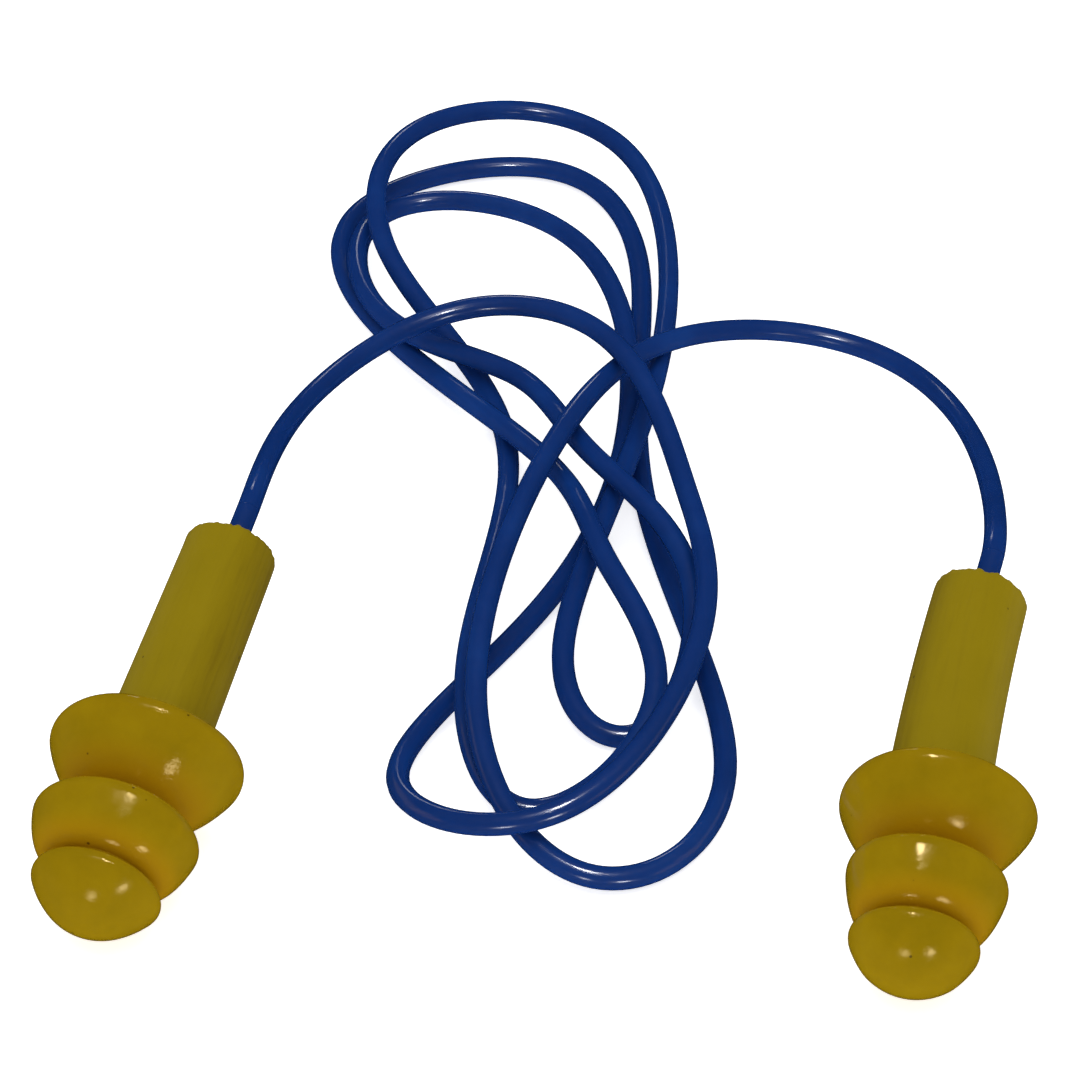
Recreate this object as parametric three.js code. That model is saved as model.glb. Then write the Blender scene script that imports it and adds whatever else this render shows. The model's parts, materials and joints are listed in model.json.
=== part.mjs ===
// Corded ear plugs: two moulded plugs, each with three flanges, joined by one length of round cord.
// Millimetres, +Z up. The plugs rest on their flange rims on the plane z = 0, and the cord lies between them.
import * as THREE from 'three';
import { NURBSCurve } from 'three/addons/curves/NURBSCurve.js';

// Flanges, from the tip: rim radius, distance of the rim from the tip or from the rim before it, depth of
// the hollow-side slope behind the rim, and how full the front slope is outwards and along the axis.
const tipFlange = { radius: 4.1, spacing: 3.0, backDepth: 0.75, fullOut: 0.65, fullAlong: 0.03 };
const middleFlange = { radius: 5.05, spacing: 4.4, backDepth: 1.05, fullOut: 0.75, fullAlong: 0.1 };
const rearFlange = { radius: 6.3, spacing: 5.1, backDepth: 1.9, fullOut: 0.62, fullAlong: 0.28 };
const flanges = [tipFlange, middleFlange, rearFlange];
const backFullOut = 0.65;
const backFullAlong = 0.49;

// Stem: its length from the rear rim to the mouth face, and its radii.
const stemLength = 15.95;
const stemBaseRadius = 3.1;
const stemEndRadius = 2.9;
const coreRadius = 2.95;
const stemEdgeRound = 0.35;

// Cord, its seat in the stem, and the adhesive at the mouth.
const cordDiameter = 1.45;
const boreDepth = 9;
const boreClearance = 0.1;
const bondRadius = 1.6;
const bondDepth = 0.5;
const bondDome = 0.25;
const bondClearance = 0.1;
const faceGap = 0.3;
const cordEndOutside = 0.35;
const leadLength = 2;

// How the two plugs lie: where their mouths are, which way they point and how far the stem has bent.
const leftLie = { mouthX: -18.96, mouthY: 15.33, heading: 16, stemBend: 0 };
const rightLie = { mouthX: 27.1, mouthY: 10.92, heading: 11, stemBend: 5.6 };

// The cord's route between its two flexing leads, as the control points of one smooth curve.
const cordRoute = [
  [-17.5, 36.5, 4], [-6.5, 47, 5.9], [4, 43, 7.6], [8, 34.5, 6.4], [9.5, 27, 5], [12, 12.5, 6.3],
  [2.5, -6.5, 4.2], [-13, 1.5, 1.4], [-1.5, 16.5, 0.4], [7, 31.5, 1.9], [6.5, 60.5, 3.5],
  [-14.5, 67, 1.2], [-12.5, 45.5, 3.3], [0, 43.5, 2.5], [2, 31.5, 4.7], [12, 20.5, 5], [7.5, 4.5, -0.4],
  [-2, 11.5, 2.1], [10, 39.5, 4], [9.5, 76.5, 1.5], [-11.5, 73, 4.4], [-13, 54, 3.7], [1.5, 40.5, -0.8],
  [-6.5, 11, 4.1], [-2, -3, -0.6], [10.5, 9, 3.1], [3, 21, 5.2], [3, 31, 3.3], [-13, 50, 0.5],
  [-16.5, 65.5, 1], [3, 73, 0.7], [9, 57.5, 0.9], [4.5, 31.5, 0.7], [15.5, 2, 1.1], [2.5, -9, 0.4],
  [-6.5, 6, 3.9], [0.5, 31.5, 6.7], [8.5, 46, 4.6], [23.5, 47.5, 2], [30, 35.5, 3.1],
];
const routeLeadIn = 2.4;
const cordSteps = 80;
const cordSides = 8;

const aroundPlug = 40;
const aroundCord = 16;
const cordRadius = cordDiameter / 2;

// Distances along a plug's axis, from its tip.
const rims = [];
for (const flange of flanges) {
  rims.push((rims.at(-1) ?? 0) + flange.spacing);
}
const rearRim = rims[2];
const mouth = rearRim + stemLength;
const leadStart = mouth + cordEndOutside + faceGap;
const leadTip = leadStart + leadLength;
const cordStart = leadTip + faceGap;

// A plug lies on its tip and rear rims, so its axis rises towards the mouth.
const restAngle = Math.atan2(rearFlange.radius - tipFlange.radius, rearRim - rims[0]);
const restHeight = rearFlange.radius * Math.cos(restAngle) - rearRim * Math.sin(restAngle);

const plugRubber = new THREE.MeshStandardMaterial({ color: 0x8c740c, roughness: 0.4, metalness: 0 });
const cordVinyl = new THREE.MeshStandardMaterial({ color: 0x0f2c66, roughness: 0.3, metalness: 0 });
const bondGlue = new THREE.MeshStandardMaterial({ color: 0xb98a5a, roughness: 0.35, metalness: 0 });

// Turns a profile of [radius, distance along the axis] round the axis, which becomes local +Z.
function turned(profile, segments) {
  const points = profile.map(([radius, along]) => new THREE.Vector2(radius, along));
  return new THREE.LatheGeometry(points, segments).rotateX(Math.PI / 2);
}

function slope(from, control, to, divisions) {
  const [a, b, c] = [from, control, to].map(([x, y]) => new THREE.Vector2(x, y));
  return new THREE.QuadraticBezierCurve(a, b, c).getPoints(divisions).map((p) => [p.x, p.y]);
}

// The plug's outside from the tip to the mouth face, then down the bond's recess and the cord's bore.
function plugProfile() {
  const profile = [];
  let foot = [0, 0];
  flanges.forEach((flange, i) => {
    const rim = [flange.radius, rims[i]];
    const root = i < flanges.length - 1 ? coreRadius : stemBaseRadius;
    const next = [root, rims[i] + flange.backDepth];
    const front = [
      foot[0] + flange.fullOut * (rim[0] - foot[0]),
      foot[1] + flange.fullAlong * (rim[1] - foot[1]),
    ];
    const back = [
      next[0] + backFullOut * (rim[0] - next[0]),
      rim[1] + backFullAlong * flange.backDepth,
    ];
    profile.push(...slope(foot, front, rim, 8).slice(i ? 1 : 0));
    profile.push(...slope(rim, back, next, 4).slice(1));
    foot = next;
  });
  const stemSteps = 6;
  const shoulder = mouth - stemEdgeRound;
  for (let i = 1; i <= stemSteps; i += 1) {
    const share = i / stemSteps;
    profile.push([
      THREE.MathUtils.lerp(stemBaseRadius, stemEndRadius, share),
      THREE.MathUtils.lerp(foot[1], shoulder, share),
    ]);
  }
  profile.push(...slope([stemEndRadius, shoulder], [stemEndRadius, mouth],
    [stemEndRadius - stemEdgeRound, mouth], 3).slice(1));
  const recess = bondRadius + bondClearance;
  const bore = cordRadius + boreClearance;
  profile.push([recess, mouth], [recess, mouth - bondDepth - bondClearance]);
  const boreSteps = 4;
  for (let i = 0; i <= boreSteps; i += 1) {
    const top = mouth - bondDepth - bondClearance;
    profile.push([bore, THREE.MathUtils.lerp(top, mouth - boreDepth, i / boreSteps)]);
  }
  profile.push([0, mouth - boreDepth]);
  return profile;
}

// A small bead of adhesive round the cord, filling the recess and standing a little proud of the face.
function bondProfile() {
  const inner = cordRadius + bondClearance;
  const bottom = mouth - bondDepth;
  const bead = slope([bondRadius, mouth], [bondRadius, mouth + bondDome], [inner, mouth + bondDome], 4);
  return [[inner, bottom], [bondRadius, bottom], ...bead, [inner, bottom]];
}

function cordEndProfile() {
  const bottom = mouth - boreDepth + faceGap;
  const top = mouth + cordEndOutside;
  const profile = [[0, bottom]];
  const steps = 6;
  for (let i = 0; i <= steps; i += 1) {
    profile.push([cordRadius, THREE.MathUtils.lerp(bottom, top, i / steps)]);
  }
  profile.push([0, top]);
  return profile;
}

// The first stretch of cord outside the plug. Its far end is round, so that it can swing beside the cord.
function leadProfile() {
  const profile = [[0, leadStart], [cordRadius, leadStart]];
  const roundSteps = 5;
  for (let i = 0; i <= roundSteps; i += 1) {
    const angle = (i / roundSteps) * Math.PI / 2;
    const radius = i < roundSteps ? cordRadius * Math.cos(angle) : 0;
    profile.push([radius, leadTip - cordRadius + cordRadius * Math.sin(angle)]);
  }
  return profile;
}

// Where a point of the straight plug goes when its stem bends sideways, towards local +X.
function bent(point, stemBend) {
  const total = THREE.MathUtils.degToRad(stemBend);
  const along = Math.min(Math.max(point.z - rearRim, 0), stemLength);
  if (total === 0 || along === 0) return point;
  const radius = stemLength / total;
  const angle = along / radius;
  const beyond = point.z - rearRim - along;
  const x = radius * (1 - Math.cos(angle)) + point.x * Math.cos(angle) + beyond * Math.sin(angle);
  const z = rearRim + radius * Math.sin(angle) - point.x * Math.sin(angle) + beyond * Math.cos(angle);
  return new THREE.Vector3(x, point.y, z);
}

function bentGeometry(geometry, stemBend) {
  const position = geometry.getAttribute('position');
  for (let i = 0; i < position.count; i += 1) {
    const moved = bent(new THREE.Vector3().fromBufferAttribute(position, i), stemBend);
    position.setXYZ(i, moved.x, moved.y, moved.z);
  }
  geometry.computeVertexNormals();
  return geometry;
}

const assembly = new THREE.Group();

// One plug with its bond and the cord's end and lead, laid on its rims with its mouth where `lie` says.
function addPlug(side, lie) {
  const plug = new THREE.Group();
  const pieces = [
    ['plug', plugProfile(), aroundPlug, plugRubber],
    ['bond', bondProfile(), aroundPlug, bondGlue],
    ['cord_end', cordEndProfile(), aroundCord, cordVinyl],
    ['cord_lead', leadProfile(), aroundCord, cordVinyl],
  ];
  for (const [name, profile, segments, material] of pieces) {
    const mesh = new THREE.Mesh(bentGeometry(turned(profile, segments), lie.stemBend), material);
    mesh.name = `${side}_${name}`;
    plug.add(mesh);
  }
  plug.rotation.set(restAngle - Math.PI / 2, 0, -THREE.MathUtils.degToRad(lie.heading), 'ZYX');
  plug.updateMatrix();
  const mouthPlace = bent(new THREE.Vector3(0, 0, mouth), lie.stemBend).applyMatrix4(plug.matrix);
  plug.position.set(lie.mouthX - mouthPlace.x, lie.mouthY - mouthPlace.y, restHeight);
  plug.updateMatrix();
  assembly.add(plug);
  const place = (along) => bent(new THREE.Vector3(0, 0, along), lie.stemBend).applyMatrix4(plug.matrix);
  return [place(cordStart), place(cordStart + routeLeadIn)];
}

const leftExit = addPlug('left', leftLie);
const rightExit = addPlug('right', rightLie);

// The free cord: a clamped cubic curve, stepped evenly along its parameter so that bends get more steps.
function addCord() {
  const points = [
    ...leftExit,
    ...cordRoute.map((p) => new THREE.Vector3(...p)),
    ...rightExit.toReversed(),
  ].map((p) => new THREE.Vector4(p.x, p.y, p.z, 1));
  const degree = 3;
  const spans = points.length - degree;
  const knots = Array(degree).fill(0);
  for (let i = 0; i <= spans; i += 1) {
    knots.push(i / spans);
  }
  knots.push(...Array(degree).fill(1));
  const path = new NURBSCurve(degree, knots, points);
  path.getPointAt = (t) => path.getPoint(t);
  path.getTangentAt = (t) => path.getTangent(t);
  const section = new THREE.Shape();
  for (let i = 0; i < cordSides; i += 1) {
    const angle = (2 * Math.PI * i) / cordSides;
    const corner = [cordRadius * Math.cos(angle), cordRadius * Math.sin(angle)];
    if (i) section.lineTo(...corner);
    else section.moveTo(...corner);
  }
  const geometry = new THREE.ExtrudeGeometry(section, { steps: cordSteps, extrudePath: path });
  const cord = new THREE.Mesh(geometry, cordVinyl);
  cord.name = 'cord';
  assembly.add(cord);
}

addCord();

export default assembly;
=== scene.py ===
# Corded ear plugs: two moulded plugs with three flanges each, joined by one glossy vinyl cord.
import json
import math

import bmesh
import bpy
from mathutils import Matrix, Vector, noise


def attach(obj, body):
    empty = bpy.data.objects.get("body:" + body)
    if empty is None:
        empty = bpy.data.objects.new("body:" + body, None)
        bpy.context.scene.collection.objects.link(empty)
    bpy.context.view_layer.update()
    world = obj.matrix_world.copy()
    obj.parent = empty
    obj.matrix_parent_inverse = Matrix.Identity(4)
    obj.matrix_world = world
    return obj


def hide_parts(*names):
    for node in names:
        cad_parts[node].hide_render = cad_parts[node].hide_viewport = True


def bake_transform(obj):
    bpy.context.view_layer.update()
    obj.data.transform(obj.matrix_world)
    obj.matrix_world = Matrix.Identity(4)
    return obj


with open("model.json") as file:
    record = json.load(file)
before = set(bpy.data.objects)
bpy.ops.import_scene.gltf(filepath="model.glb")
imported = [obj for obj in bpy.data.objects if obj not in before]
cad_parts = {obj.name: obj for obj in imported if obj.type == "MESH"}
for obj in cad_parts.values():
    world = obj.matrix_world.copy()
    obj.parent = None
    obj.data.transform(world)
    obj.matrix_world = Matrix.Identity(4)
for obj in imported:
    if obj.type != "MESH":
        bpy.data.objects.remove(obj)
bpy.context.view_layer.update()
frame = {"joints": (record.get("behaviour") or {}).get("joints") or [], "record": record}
joints = {joint["name"]: joint for joint in frame["joints"]}
mounts = {mount["name"]: mount for mount in frame["record"]["mounts"]}
mm = 0.001
sides = ("left", "right")


def linear(hexColour):
    # sRGB hex to linear RGBA
    channels = []
    for i in (1, 3, 5):
        value = int(hexColour[i:i + 2], 16) / 255
        channels.append(value / 12.92 if value <= 0.04045 else ((value + 0.055) / 1.055) ** 2.4)
    return (*channels, 1.0)


def mix(a, b, share):
    return a + (b - a) * share


def smoothStep(value, low, high):
    share = min(max((value - low) / (high - low), 0.0), 1.0)
    return share * share * (3 - 2 * share)


def addNode(tree, kind, links=None, **settings):
    # one node, with its properties and its sockets set by name or number
    node = tree.nodes.new(kind)
    sockets = settings.pop("sockets", {})
    for name, value in settings.items():
        setattr(node, name, value)
    for name, value in sockets.items():
        node.inputs[name].default_value = value
    for name, source in (links or {}).items():
        tree.links.new(source, node.inputs[name])
    return node


def newMaterial(name):
    material = bpy.data.materials.new(name)
    material.use_nodes = True
    material.node_tree.nodes.clear()
    return material, material.node_tree


def fillRamp(node, places, hexColours):
    ramp = node.color_ramp
    while len(ramp.elements) < len(places):
        ramp.elements.new(0.5)
    for element, place, hexColour in zip(ramp.elements, places, hexColours):
        element.position = place
        element.color = linear(hexColour)


def pieceFrom(bm, name, material):
    # an object from a finished bmesh, smooth but for its flat round ends
    mesh = bpy.data.meshes.new(name)
    bm.to_mesh(mesh)
    bm.free()
    mesh.polygons.foreach_set("use_smooth", [len(face.vertices) < 5 for face in mesh.polygons])
    mesh.materials.append(material)
    piece = bpy.data.objects.new(name, mesh)
    bpy.context.scene.collection.objects.link(piece)
    return piece


# ---- how each plug lies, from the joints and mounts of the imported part

def layOf(side):
    twist = joints[f"{side}_twist"]
    mount = mounts[f"{side}_ear_canal"]
    along = -Vector(mount["axis"]).normalized()
    across = Vector((along.y, -along.x, 0)).normalized()
    exitWay = Vector(twist["axis"]).normalized()
    return {
        "rearRim": Vector(mount["pos_m"]),
        "along": along,
        "across": across,
        "up": across.cross(along),
        "mouth": Vector(twist["pos_m"]),
        "exitWay": exitWay,
        "bend": math.asin(max(-1.0, min(1.0, exitWay.dot(across)))),
    }


lays = {side: layOf(side) for side in sides}


# ---- camera

cameraSet = {
    "aim": (0.11, 27.79, 0),  # the point on the floor that it looks at
    "distance": 269.47,
    "elevation": 40.0,
    "lens": 136.5,
    "sensor": 36.0,
    "clip": (0.01, 10.0),  # in metres
}


def makeCamera():
    tilt = math.radians(cameraSet["elevation"])
    aim = Vector(cameraSet["aim"]) * mm
    back = Vector((0, -math.cos(tilt), math.sin(tilt)))
    data = bpy.data.cameras.new("camera")
    data.lens = cameraSet["lens"]
    data.sensor_width = cameraSet["sensor"]
    data.clip_start, data.clip_end = cameraSet["clip"]
    camera = bpy.data.objects.new("camera", data)
    camera.location = aim + back * cameraSet["distance"] * mm
    camera.rotation_euler = (math.pi / 2 - tilt, 0, 0)
    bpy.context.scene.collection.objects.link(camera)
    bpy.context.scene.camera = camera


makeCamera()
print("camera placed")


# ---- cord

cordSet = {
    "diameter": 1.45,
    "straight": 2.95,  # from the mouth to where the free cord starts
    "leadIn": 2.4,  # how far the free cord goes straight on from there
    "overlap": 0.25,  # how far the lead reaches into the free cord
    "tuck": 0.985,  # and how much thinner it is there
    "intoBore": 1.2,
    "leadSides": 28,
    "leadRings": 40,
    "curveSteps": 20,
    "bevelSteps": 5,
    # from the left plug to the right one
    "route": [
        [-17.5, 36.5, 4], [-6.5, 47, 5.9], [4, 43, 7.6], [8, 34.5, 6.4], [9.5, 27, 5], [12, 12.5, 6.3],
        [2.5, -6.5, 4.2], [-13, 1.5, 1.4], [-1.5, 16.5, 0.4], [7, 31.5, 1.9], [6.5, 60.5, 3.5],
        [-14.5, 67, 1.2], [-12.5, 45.5, 3.3], [0, 43.5, 2.5], [2, 31.5, 4.7], [12, 20.5, 5],
        [7.5, 4.5, -0.4], [-2, 11.5, 2.1], [10, 39.5, 4], [9.5, 76.5, 1.5], [-11.5, 73, 4.4],
        [-13, 54, 3.7], [1.5, 40.5, -0.8], [-6.5, 11, 4.1], [-2, -3, -0.6], [10.5, 9, 3.1],
        [3, 21, 5.2], [3, 31, 3.3], [-13, 50, 0.5], [-16.5, 65.5, 1], [3, 73, 0.7], [9, 57.5, 0.9],
        [4.5, 31.5, 0.7], [15.5, 2, 1.1], [2.5, -9, 0.4], [-6.5, 6, 3.9], [0.5, 31.5, 6.7],
        [8.5, 46, 4.6], [23.5, 47.5, 2], [30, 35.5, 3.1],
    ],
}


vinylSet = {
    "tones": ("#0b2e6e", "#0c3174", "#0f387e"),
    "roughness": (0.15, 0.22),
    "cloudSize": 6,
    "grainSize": 0.35,
    "grainDepth": 0.02,
}


def vinylMaterial():
    # Plasticised PVC, extruded: smooth and glossy, with a soft depth of colour and a faint grain in its
    # gloss.
    material, tree = newMaterial("extruded blue vinyl")
    place = addNode(tree, "ShaderNodeTexCoord").outputs["Object"]
    cloud = addNode(tree, "ShaderNodeTexNoise", {"Vector": place},
                    sockets={"Scale": 1 / (vinylSet["cloudSize"] * mm), "Detail": 3.0, "Roughness": 0.55})
    tone = addNode(tree, "ShaderNodeValToRGB", {"Fac": cloud.outputs["Fac"]})
    fillRamp(tone, (0.3, 0.52, 0.75), vinylSet["tones"])
    grain = addNode(tree, "ShaderNodeTexNoise", {"Vector": place},
                    sockets={"Scale": 1 / (vinylSet["grainSize"] * mm), "Detail": 4.0, "Roughness": 0.6})
    smoothest, roughest = vinylSet["roughness"]
    gloss = addNode(tree, "ShaderNodeMapRange", {"Value": grain.outputs["Fac"]},
                    sockets={"From Min": 0.3, "From Max": 0.7, "To Min": smoothest, "To Max": roughest})
    bump = addNode(tree, "ShaderNodeBump", {"Height": grain.outputs["Fac"]},
                   sockets={"Strength": 0.05, "Distance": vinylSet["grainDepth"] * mm})
    shader = addNode(tree, "ShaderNodeBsdfPrincipled",
                     {"Base Color": tone.outputs["Color"], "Roughness": gloss.outputs["Result"],
                      "Normal": bump.outputs["Normal"]},
                     sockets={"IOR": 1.53, "Specular IOR Level": 0.9})
    addNode(tree, "ShaderNodeOutputMaterial", {"Surface": shader.outputs["BSDF"]})
    return material


vinyl = vinylMaterial()


def exitPoint(side, distance):
    lay = lays[side]
    return lay["mouth"] + lay["exitWay"] * distance * mm


def makeCord():
    straight = cordSet["straight"]
    leadIn = straight + cordSet["leadIn"]
    route = [exitPoint("left", straight), exitPoint("left", leadIn)]
    route += [Vector(point) * mm for point in cordSet["route"]]
    route += [exitPoint("right", leadIn), exitPoint("right", straight)]
    curve = bpy.data.curves.new("blue_cord", "CURVE")
    curve.dimensions = "3D"
    curve.bevel_depth = cordSet["diameter"] / 2 * mm
    curve.bevel_resolution = cordSet["bevelSteps"]
    curve.resolution_u = cordSet["curveSteps"]
    curve.use_fill_caps = True
    spline = curve.splines.new("NURBS")
    spline.points.add(len(route) - 1)
    for point, place in zip(spline.points, route):
        point.co = (*place, 1)
    spline.order_u = 4
    spline.use_endpoint_u = True
    curve.materials.append(vinyl)
    cord = bpy.data.objects.new("blue_cord", curve)
    bpy.context.scene.collection.objects.link(cord)
    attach(cord, "cord")
    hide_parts("cord")
    return cord


def makeLead(side):
    # the short stretch between the plug's bore and the free cord
    lay = lays[side]
    radius = cordSet["diameter"] / 2 * mm
    start = -cordSet["intoBore"]
    end = cordSet["straight"] + cordSet["overlap"]
    rings = cordSet["leadRings"]
    bm = bmesh.new()
    turn = lay["exitWay"].to_track_quat("Z", "X").to_matrix().to_4x4()
    place = Matrix.Translation(exitPoint(side, start)) @ turn
    bmesh.ops.create_circle(bm, cap_ends=True, segments=cordSet["leadSides"], radius=radius, matrix=place)
    face = bm.faces[:]
    for i in range(rings):
        grown = bmesh.ops.extrude_face_region(bm, geom=face)
        moved = [item for item in grown["geom"] if isinstance(item, bmesh.types.BMVert)]
        step = lay["exitWay"] * (end - start) / rings * mm
        bmesh.ops.translate(bm, verts=moved, vec=step)
        if i:  # the first face stays, as the near end
            bmesh.ops.delete(bm, geom=face, context="FACES_ONLY")
        face = [item for item in grown["geom"] if isinstance(item, bmesh.types.BMFace)]
    # the far end tucks just inside the free cord
    for vert in bm.verts:
        along = (vert.co - lay["mouth"]).dot(lay["exitWay"])
        if along > cordSet["straight"] * mm:
            centre = lay["mouth"] + lay["exitWay"] * along
            vert.co = centre + (vert.co - centre) * cordSet["tuck"]
    bmesh.ops.recalc_face_normals(bm, faces=bm.faces[:])
    lead = pieceFrom(bm, f"{side}_lead", vinyl)
    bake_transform(lead)
    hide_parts(f"{side}_cord_lead", f"{side}_cord_end")


cord = makeCord()
for side in sides:
    makeLead(side)
print("cord laid")


# ---- plugs

plugSet = {
    # rim radius, rim place, slope depth behind the rim, fullness of the front slope outwards and along
    "flanges": [(4.1, 3.0, 0.75, 0.65, 0.03), (5.05, 7.4, 1.05, 0.75, 0.1), (6.3, 12.5, 1.9, 0.62, 0.28)],
    "backFull": (0.65, 0.49),
    "core": 2.95,
    "stemBase": 3.1,
    "stemEnd": 2.9,
    "length": 28.45,
    "rimRound": 0.6,
    "endRound": 0.5,
    # radius and depth of each step from the recess around the mouth down into the bore
    "mouthSteps": [(1.7, 0.0), (1.58, 0.12), (1.2, 0.4), (0.76, 0.6)],
    "boreDepth": 3.0,
    "turnSteps": 176,
    "domeSteps": 30,
    "backSteps": 14,
    "roundSteps": 7,
    "stemSteps": 44,
    # how far up the second and third domes the painted glow at their feet fades
    "paintedGlowReach": (1.9, 2.3),
    "unevenness": 0.008,
    # the stem's torn end: its length, the radius it starts at, and its coarse, fine and sideways lumps
    "tornLength": 1.2,
    "tornFrom": 1.3,
    "tornLumps": (0.16, 0.08, 0.02),
    # each plug is uneven in its own way
    "leftSeed": 3.0,
    "rightSeed": 17.0,
    # how far each flange's rim is out of round, outwards on its left and right, then along on both
    "leftSag": [(0, 0.1, -0.1, 0), (0.3, 0, -0.3, -0.1), (-0.2, -0.3, -0.6, 0.5)],
    "rightSag": [(-0.1, -0.1, 0.2, 0.2), (-0.4, 0, 0.2, 0.2), (-0.5, -0.1, -0.4, 0.2)],
}


def bezier(start, control, end, steps):
    points = []
    for i in range(steps + 1):
        t = i / steps
        points.append(tuple((1 - t) ** 2 * a + 2 * t * (1 - t) * b + t * t * c
                            for a, b, c in zip(start, control, end)))
    return points


def towards(start, end, distance):
    length = math.dist(start, end)
    return tuple(a + (b - a) * distance / length for a, b in zip(start, end))


def plugProfile():
    # half section from the nose to the mouth, then down the bore and back to the axis
    profile = [(0.0, 0.0)]
    foot = (0.0, 0.0)
    rearIndex = len(plugSet["flanges"]) - 1
    for i, (rimRadius, rimPlace, depth, fullOut, fullAlong) in enumerate(plugSet["flanges"]):
        rim = (rimRadius, rimPlace)
        root = plugSet["stemBase"] if i == rearIndex else plugSet["core"]
        behind = (root, rimPlace + depth)
        fullBackOut, fullBackAlong = plugSet["backFull"]
        frontControl = (mix(foot[0], rim[0], fullOut), mix(foot[1], rim[1], fullAlong))
        backControl = (mix(behind[0], rim[0], fullBackOut), rim[1] + fullBackAlong * depth)
        front = bezier(foot, frontControl, rim, plugSet["domeSteps"])
        back = bezier(rim, backControl, behind, plugSet["backSteps"])
        # the rim's edge is rounded between a point before it and a point after it
        beforeRim = [p for p in front if math.dist(p, rim) > plugSet["rimRound"]]
        afterRim = [p for p in back if math.dist(p, rim) > plugSet["rimRound"]]
        start = towards(rim, beforeRim[-1], plugSet["rimRound"])
        end = towards(rim, afterRim[0], plugSet["rimRound"])
        profile += beforeRim[1:] + bezier(start, rim, end, plugSet["roundSteps"]) + afterRim[:-1] + [behind]
        foot = behind
    mouth = plugSet["length"]
    shoulder = mouth - plugSet["endRound"]
    stemSteps = plugSet["stemSteps"]
    for i in range(1, stemSteps + 1):
        share = i / stemSteps
        profile.append((mix(plugSet["stemBase"], plugSet["stemEnd"], share), mix(foot[1], shoulder, share)))
    edge = (plugSet["stemEnd"], mouth)
    inner = (plugSet["stemEnd"] - plugSet["endRound"], mouth)
    profile += bezier((plugSet["stemEnd"], shoulder), edge, inner, plugSet["roundSteps"])[1:]
    for share in (0.35, 0.7):
        profile.append((mix(inner[0], plugSet["mouthSteps"][0][0], share), mouth))
    profile += [(radius, mouth - depth) for radius, depth in plugSet["mouthSteps"]]
    bore, boreTop = plugSet["mouthSteps"][-1]
    for share in (0.5, 1.0):
        profile.append((bore, mouth - mix(boreTop, plugSet["boreDepth"], share)))
    profile.append((0.0, mouth - plugSet["boreDepth"]))
    return profile


def paintedGlowShare(place):
    # the painted glow, as of light coming through the rubber: 1 at the foot of the second and third domes,
    # fading to 0 up their slopes
    shade = 0.0
    for (_, rimPlace, depth, _, _), reach in zip(plugSet["flanges"], plugSet["paintedGlowReach"]):
        root = rimPlace + depth
        if place > rimPlace + 0.5 * depth:
            shade = max(shade, 1 - smoothStep(place - root, 0.1, reach))
    return shade


def bentPlace(point, bend):
    # local (across, along, up) in millimetres, the stem bending across
    rearRim = plugSet["flanges"][-1][1]
    stem = plugSet["length"] - rearRim
    along = min(max(point.y - rearRim, 0.0), stem)
    if abs(bend) < 1e-6 or along == 0:
        return point
    radius = stem / bend
    angle = along / radius
    beyond = point.y - rearRim - along
    x = radius * (1 - math.cos(angle)) + point.x * math.cos(angle) + beyond * math.sin(angle)
    y = rearRim + radius * math.sin(angle) - point.x * math.sin(angle) + beyond * math.cos(angle)
    return Vector((x, y, point.z))


def sagOf(point, side):
    # how far a flange's soft rim has moved outwards and along, in millimetres
    radius = math.hypot(point.x, point.z)
    for (rimRadius, rimPlace, depth, _, _), sag in zip(plugSet["flanges"], plugSet[f"{side}Sag"]):
        if point.y > rimPlace + depth:
            continue
        reach = min(max((radius - plugSet["core"]) / (rimRadius - plugSet["core"]), 0.0), 1.0)
        facing = point.x / max(radius, 1e-6)
        spread, slide = (sag[1], sag[3]) if facing > 0 else (sag[0], sag[2])
        return spread * reach * facing ** 2, slide * reach * facing ** 2
    return 0.0, 0.0


def softened(point, side):
    # the soft flanges lie a little out of round, and the stem's end is torn and lumpy
    seed = plugSet[f"{side}Seed"]
    radius = math.hypot(point.x, point.z)
    angle = math.atan2(point.z, point.x)
    mouth = plugSet["length"]
    around = Vector((math.cos(angle), math.sin(angle), 0))
    flange = smoothStep(radius, plugSet["core"], plugSet["flanges"][-1][0])
    spread, slide = sagOf(point, side)
    wave = noise.noise(around * 0.9 + Vector((seed, point.y * 0.05, 0)))
    grow = 1 + plugSet["unevenness"] * flange * wave + spread / max(radius, 1e-6)
    tornStart = mouth - plugSet["tornLength"]
    if point.y > tornStart and radius > plugSet["tornFrom"]:
        torn = smoothStep(point.y, tornStart, mouth)
        coarse, fine, sideways = plugSet["tornLumps"]
        slide += torn * coarse * noise.noise(around * 5 + Vector((seed, 0, 0)))
        slide += torn * fine * noise.noise(around * 14 + Vector((0, seed, 0)))
        grow += torn * sideways * noise.noise(around * 7 + Vector((0, 0, seed)))
    return Vector((point.x * grow, point.y + slide, point.z * grow))


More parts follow.
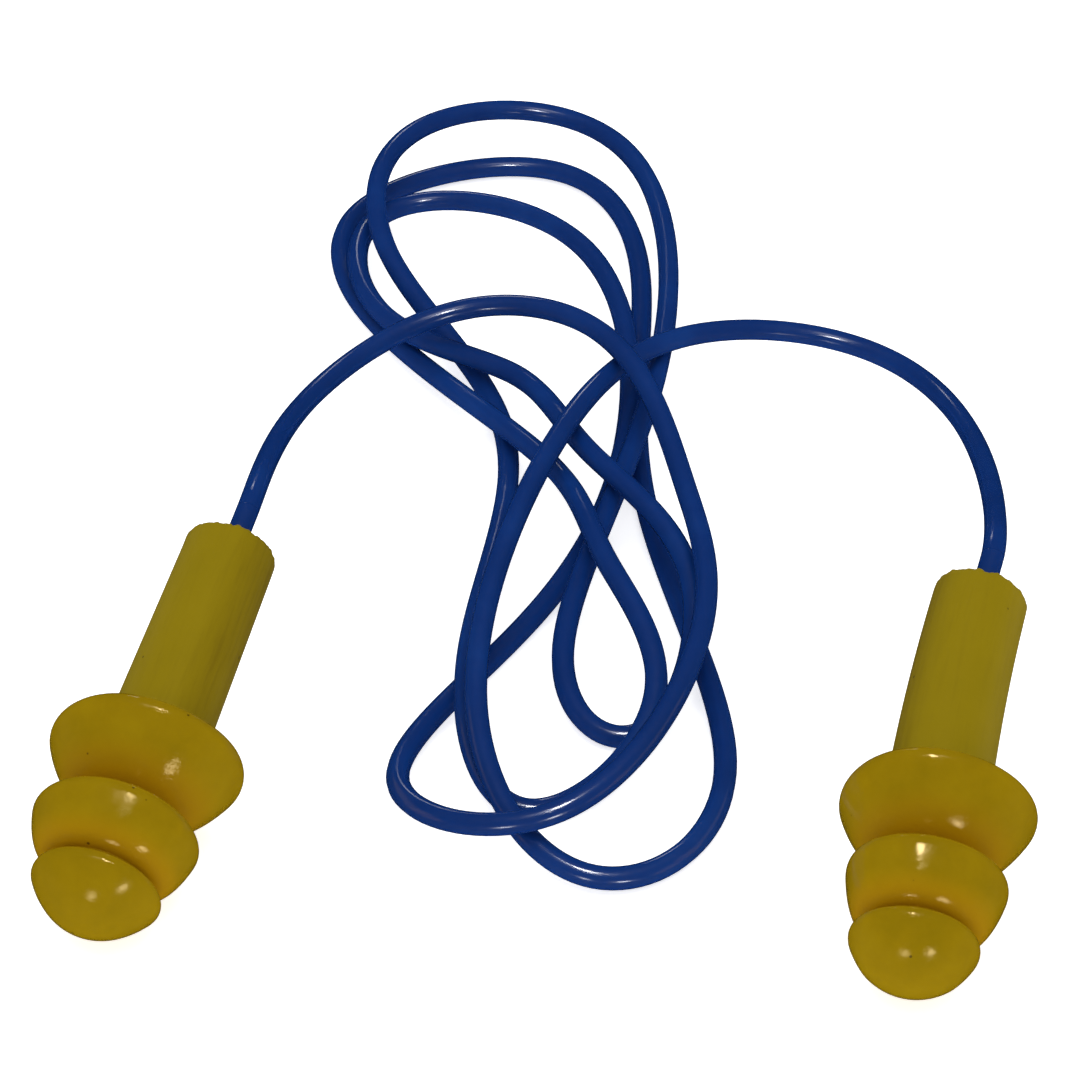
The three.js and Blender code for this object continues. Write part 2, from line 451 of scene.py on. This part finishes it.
def makePlug(side, material):
    lay = lays[side]
    rearRim = plugSet["flanges"][-1][1]
    bm = bmesh.new()
    verts = [bm.verts.new((radius, place, 0)) for radius, place in plugProfile()]
    edges = [bm.edges.new(pair) for pair in zip(verts, verts[1:])]
    bmesh.ops.spin(bm, geom=verts + edges, cent=(0, 0, 0), axis=(0, 1, 0), dvec=(0, 0, 0),
                   angle=2 * math.pi, steps=plugSet["turnSteps"], use_merge=True, use_duplicate=False)
    bmesh.ops.remove_doubles(bm, verts=bm.verts[:], dist=1e-4)
    bmesh.ops.recalc_face_normals(bm, faces=bm.faces[:])
    localLayer = bm.verts.layers.float_vector.new("local")
    paintedGlowLayer = bm.verts.layers.float.new("paintedGlow")
    for vert in bm.verts:
        vert[localLayer] = vert.co
        vert[paintedGlowLayer] = paintedGlowShare(vert.co.y)
        point = bentPlace(softened(vert.co, side), lay["bend"])
        place = lay["across"] * point.x + lay["along"] * (point.y - rearRim) + lay["up"] * point.z
        vert.co = lay["rearRim"] + place * mm
    if sum(face.normal.dot(face.calc_center_median() - lay["rearRim"]) for face in bm.faces) < 0:
        bmesh.ops.reverse_faces(bm, faces=bm.faces[:])
    plug = pieceFrom(bm, f"{side}_moulded_plug", material)
    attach(plug, f"{side}_plug")
    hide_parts(f"{side}_plug")


elastomerSet = {
    "tones": ("#897007", "#907508", "#967b09"),
    "stem": "#887808",
    # painted glow: a lighter, warmer amber at the feet of the domes, as of light coming through the rubber
    "paintedGlow": "#a57c09",
    # colour of the stem's streaks and of the painted shade down one side of it
    "streakAndShade": "#665108",
    "speck": "#3a2808",
    "tint": "#ffe2a4",
    # where the satin stem takes over from the glossy flanges, along the plug in millimetres
    "stemFrom": (13.4, 14.8),
    # sizes of the patterns in millimetres
    "cloudSize": 3.33,
    "streakSize": 0.3125,
    "grainSize": 0.286,
    "speckSpacing": 2.22,
    # where the painted shade down one side of each stem starts and is full, across the plug in millimetres
    "leftRubbed": (0.9, 2.4),
    "rightRubbed": (-1.6, -2.8),
    # so that the two plugs don't carry the same marks
    "leftOffset": (0, 0, 0),
    "rightOffset": (31, 7, 12),
}


def elastomerMaterial(side):
    # Thermoplastic elastomer, injection moulded: glossy domes, a satin stem with lengthwise streaks and
    # painted shade down one side, a few small specks and a painted glow, warmer and lighter amber, at the
    # feet of the domes.
    material, tree = newMaterial(f"moulded yellow elastomer {side}")
    local = addNode(tree, "ShaderNodeAttribute", attribute_name="local").outputs["Vector"]
    paintedGlow = addNode(tree, "ShaderNodeAttribute", attribute_name="paintedGlow").outputs["Fac"]
    axis = addNode(tree, "ShaderNodeSeparateXYZ", {"Vector": local})
    place = addNode(tree, "ShaderNodeMapping", {"Vector": local},
                    sockets={"Location": elastomerSet[f"{side}Offset"]}).outputs["Vector"]
    stemStart, stemFull = elastomerSet["stemFrom"]
    onStem = addNode(tree, "ShaderNodeMapRange", {"Value": axis.outputs["Y"]},
                     sockets={"From Min": stemStart, "From Max": stemFull}).outputs["Result"]
    cloud = addNode(tree, "ShaderNodeTexNoise", {"Vector": place},
                    sockets={"Scale": 1 / elastomerSet["cloudSize"], "Detail": 6.0, "Roughness": 0.62})
    tone = addNode(tree, "ShaderNodeValToRGB", {"Fac": cloud.outputs["Fac"]})
    fillRamp(tone, (0.3, 0.5, 0.72), elastomerSet["tones"])
    stemShare = addNode(tree, "ShaderNodeMapRange", {"Value": onStem}, sockets={"To Max": 0.7})
    body = addNode(tree, "ShaderNodeMix",
                   {"A": tone.outputs["Color"], "Factor": stemShare.outputs["Result"]},
                   data_type="RGBA", sockets={"B": linear(elastomerSet["stem"])})
    # painted glow at the feet of the domes, as of light coming through the rubber
    withPaintedGlow = addNode(tree, "ShaderNodeMix", {"A": body.outputs["Result"], "Factor": paintedGlow},
                   data_type="RGBA", sockets={"B": linear(elastomerSet["paintedGlow"])})
    # lengthwise streaks on the stem, about 0.3 mm apart, and a streaked band of painted shade down one side
    stretched = addNode(tree, "ShaderNodeMapping", {"Vector": place}, sockets={"Scale": (1, 0.06, 1)})
    streakAndShade = addNode(tree, "ShaderNodeTexNoise", {"Vector": stretched.outputs["Vector"]},
                     sockets={"Scale": 1 / elastomerSet["streakSize"], "Detail": 4.0, "Roughness": 0.6})
    thin = addNode(tree, "ShaderNodeMapRange", {"Value": streakAndShade.outputs["Fac"]},
                   sockets={"From Min": 0.52, "From Max": 0.75, "To Min": 0.0, "To Max": 0.14})
    # painted shade: one side of each stem darker, as where less light falls on it
    shadeStart, shadeFull = elastomerSet[f"{side}Rubbed"]
    paintedSideShade = addNode(tree, "ShaderNodeMapRange", {"Value": axis.outputs["X"]},
                     sockets={"From Min": shadeStart, "From Max": shadeFull, "To Min": 0.0, "To Max": 0.6})
    streakedShade = addNode(tree, "ShaderNodeMath", {0: paintedSideShade.outputs["Result"], 1: streakAndShade.outputs["Fac"]},
                    operation="MULTIPLY")
    streaksPlusShade = addNode(tree, "ShaderNodeMath", {0: thin.outputs["Result"], 1: streakedShade.outputs["Value"]},
                   operation="ADD")
    stemMarksAndShade = addNode(tree, "ShaderNodeMath", {0: streaksPlusShade.outputs["Value"], 1: onStem},
                      operation="MULTIPLY").outputs["Value"]
    streakedAndShaded = addNode(tree, "ShaderNodeMix", {"A": withPaintedGlow.outputs["Result"], "Factor": stemMarksAndShade},
                   data_type="RGBA", sockets={"B": linear(elastomerSet["streakAndShade"])})
    fine = addNode(tree, "ShaderNodeTexNoise", {"Vector": place},
                   sockets={"Scale": 1 / elastomerSet["grainSize"], "Detail": 4.0,
                            "Roughness": 0.6}).outputs["Fac"]
    # a few ragged dark specks, about 0.2 mm across
    cells = addNode(tree, "ShaderNodeTexVoronoi", {"Vector": place},
                    sockets={"Scale": 1 / elastomerSet["speckSpacing"], "Randomness": 1.0})
    ragged = addNode(tree, "ShaderNodeMath", {0: fine, 2: cells.outputs["Distance"]},
                     operation="MULTIPLY_ADD", sockets={1: 0.06})
    speck = addNode(tree, "ShaderNodeMapRange", {"Value": ragged.outputs["Value"]},
                    sockets={"From Min": 0.06, "From Max": 0.08, "To Min": 0.8, "To Max": 0.0})
    specked = addNode(tree, "ShaderNodeMix",
                      {"A": streakedAndShaded.outputs["Result"], "Factor": speck.outputs["Result"]},
                      data_type="RGBA", sockets={"B": linear(elastomerSet["speck"])})
    sheen = addNode(tree, "ShaderNodeMapRange", {"Value": onStem},
                    sockets={"To Min": 0.06, "To Max": 0.4})
    gloss = addNode(tree, "ShaderNodeMapRange", {"Value": onStem}, sockets={"To Min": 0.5, "To Max": 0.1})
    roughness = addNode(tree, "ShaderNodeMath", {0: fine, 2: sheen.outputs["Result"]},
                        operation="MULTIPLY_ADD", sockets={1: 0.1})
    bump = addNode(tree, "ShaderNodeBump", {"Height": fine},
                   sockets={"Strength": 0.4, "Distance": 0.04 * mm})
    lines = addNode(tree, "ShaderNodeBump", {"Height": stemMarksAndShade, "Normal": bump.outputs["Normal"]},
                    invert=True, sockets={"Strength": 0.3, "Distance": 0.06 * mm})
    shader = addNode(tree, "ShaderNodeBsdfPrincipled",
                     {"Base Color": specked.outputs["Result"], "Roughness": roughness.outputs["Value"],
                      "Normal": lines.outputs["Normal"], "Specular IOR Level": gloss.outputs["Result"]},
                     sockets={"IOR": 1.5, "Specular Tint": linear(elastomerSet["tint"])})
    addNode(tree, "ShaderNodeOutputMaterial", {"Surface": shader.outputs["BSDF"]})
    return material


for side in sides:
    makePlug(side, elastomerMaterial(side))
print("plugs moulded")


# ---- adhesive at each mouth

bondSet = {
    "radius": 1.62,
    "height": 0.2,
    "depth": 0.45,
    "intoCord": 0.05,
    "lumps": 0.09,
    "turnSteps": 72,
    "leftSeed": 5.0,
    "rightSeed": 11.0,
    "tones": ("#8d7212", "#97753a", "#a07a5c"),
    "cloudSize": 0.7,
}


def adhesiveMaterial():
    # Cured clear adhesive over yellow elastomer: wet-looking, faintly pink, uneven.
    material, tree = newMaterial("cured clear adhesive")
    place = addNode(tree, "ShaderNodeTexCoord").outputs["Object"]
    cloud = addNode(tree, "ShaderNodeTexNoise", {"Vector": place},
                    sockets={"Scale": 1 / (bondSet["cloudSize"] * mm), "Detail": 3.0})
    tone = addNode(tree, "ShaderNodeValToRGB", {"Fac": cloud.outputs["Fac"]})
    fillRamp(tone, (0.35, 0.55, 0.7), bondSet["tones"])
    bump = addNode(tree, "ShaderNodeBump", {"Height": cloud.outputs["Fac"]},
                   sockets={"Strength": 0.3, "Distance": 0.05 * mm})
    shader = addNode(tree, "ShaderNodeBsdfPrincipled",
                     {"Base Color": tone.outputs["Color"], "Normal": bump.outputs["Normal"]},
                     sockets={"IOR": 1.48, "Roughness": 0.25})
    addNode(tree, "ShaderNodeOutputMaterial", {"Surface": shader.outputs["BSDF"]})
    return material


def makeBead(side, material):
    lay = lays[side]
    inner = cordSet["diameter"] / 2 - bondSet["intoCord"]
    outer = bondSet["radius"]
    section = [(inner, -bondSet["depth"]), (outer, -bondSet["depth"] * 0.6), (outer, 0.0)]
    section += bezier((outer, 0.02), (mix(inner, outer, 0.7), bondSet["height"]),
                      (inner, bondSet["height"] * 1.5), 8)
    bm = bmesh.new()
    verts = [bm.verts.new((radius, place, 0)) for radius, place in section]
    edges = [bm.edges.new(pair) for pair in zip(verts, verts[1:] + verts[:1])]
    bmesh.ops.spin(bm, geom=verts + edges, cent=(0, 0, 0), axis=(0, 1, 0), dvec=(0, 0, 0),
                   angle=2 * math.pi, steps=bondSet["turnSteps"], use_merge=True, use_duplicate=False)
    bmesh.ops.remove_doubles(bm, verts=bm.verts[:], dist=1e-4)
    bmesh.ops.recalc_face_normals(bm, faces=bm.faces[:])
    across = lay["exitWay"].cross(lay["up"]).normalized()
    seed = bondSet[f"{side}Seed"]
    for vert in bm.verts:
        lump = bondSet["lumps"] * noise.noise(vert.co * 1.3 + Vector((seed, seed, 0)))
        point = vert.co + Vector((0, lump if vert.co.y > -0.1 else 0, 0))
        place = across * point.x + lay["exitWay"] * point.y + lay["up"] * point.z
        vert.co = lay["mouth"] + place * mm
    bead = pieceFrom(bm, f"{side}_adhesive", material)
    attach(bead, f"{side}_plug")
    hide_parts(f"{side}_bond")


adhesive = adhesiveMaterial()
for side in sides:
    makeBead(side, adhesive)
print("adhesive set")


# ---- floor and lights

floorSet = {"size": 3.0, "colour": "#fbfbfa", "glow": 0.7, "fibre": 2}
skySet = {"ambient": 0.68}
# one wide light that models the shapes and doesn't show in highlights
softBoxSet = {"place": (0, 60, 900), "aim": (0, 20, 0), "size": (900, 900), "power": 3.6}
# small lights that show in highlights only: place and size in millimetres, brightness in watts per
# square metre and steradian
highlightAim = (0, 5, 5)
lightSet = {
    "overhead": {"place": (5, -20, 115), "size": (10, 20), "brightness": 60},
    "strip": {"place": (4, -66, 150), "size": (26, 2), "brightness": 40},
    "rightWindow": {"place": (72, -177, 22), "size": (34, 22), "brightness": 16},
    "leftWindow": {"place": (-78, -258, 24), "size": (44, 30), "brightness": 12},
    "ceiling": {"place": (0, -60, 500), "size": (160, 120), "brightness": 2.2},
    "backWindow": {"place": (-40, 330, 125), "size": (36, 24), "brightness": 5},
}


def makeFloor():
    material, tree = newMaterial("white paper")
    place = addNode(tree, "ShaderNodeTexCoord").outputs["Object"]
    fibre = addNode(tree, "ShaderNodeTexNoise", {"Vector": place},
                    sockets={"Scale": 1 / (floorSet["fibre"] * mm), "Detail": 4.0})
    bump = addNode(tree, "ShaderNodeBump", {"Height": fibre.outputs["Fac"]},
                   sockets={"Strength": 0.02, "Distance": 0.02 * mm})
    shader = addNode(tree, "ShaderNodeBsdfPrincipled", {"Normal": bump.outputs["Normal"]},
                     sockets={"Base Color": linear(floorSet["colour"]), "Roughness": 0.9,
                              "Specular IOR Level": 0.1, "Emission Color": (1, 1, 1, 1),
                              "Emission Strength": floorSet["glow"]})
    addNode(tree, "ShaderNodeOutputMaterial", {"Surface": shader.outputs["BSDF"]})
    bm = bmesh.new()
    bmesh.ops.create_grid(bm, x_segments=1, y_segments=1, size=floorSet["size"] / 2)
    floor = pieceFrom(bm, "floor", material)
    floor.visible_glossy = False


def makeLight(name, place, aim, size, power, inHighlights):
    data = bpy.data.lights.new(name, "AREA")
    data.shape = "RECTANGLE"
    data.size = size[0] * mm
    data.size_y = size[1] * mm
    data.energy = power
    light = bpy.data.objects.new(name, data)
    light.location = Vector(place) * mm
    light.rotation_euler = (light.location - Vector(aim) * mm).to_track_quat("Z", "Y").to_euler()
    light.visible_glossy = inHighlights
    light.visible_diffuse = not inHighlights
    bpy.context.scene.collection.objects.link(light)


makeFloor()
for name, light in lightSet.items():
    area = light["size"][0] * light["size"][1] * mm * mm
    power = light["brightness"] * math.pi * area
    makeLight(name, light["place"], highlightAim, light["size"], power, inHighlights=True)
makeLight("softBox", **softBoxSet, inHighlights=False)
world = bpy.data.worlds.new("studio")
bpy.context.scene.world = world
world.use_nodes = True
world.node_tree.nodes["Background"].inputs["Color"].default_value = (1, 1, 1, 1)
world.node_tree.nodes["Background"].inputs["Strength"].default_value = skySet["ambient"]
world.cycles_visibility.glossy = False
bpy.context.scene.view_settings.view_transform = "Standard"
print("floor and lights set")
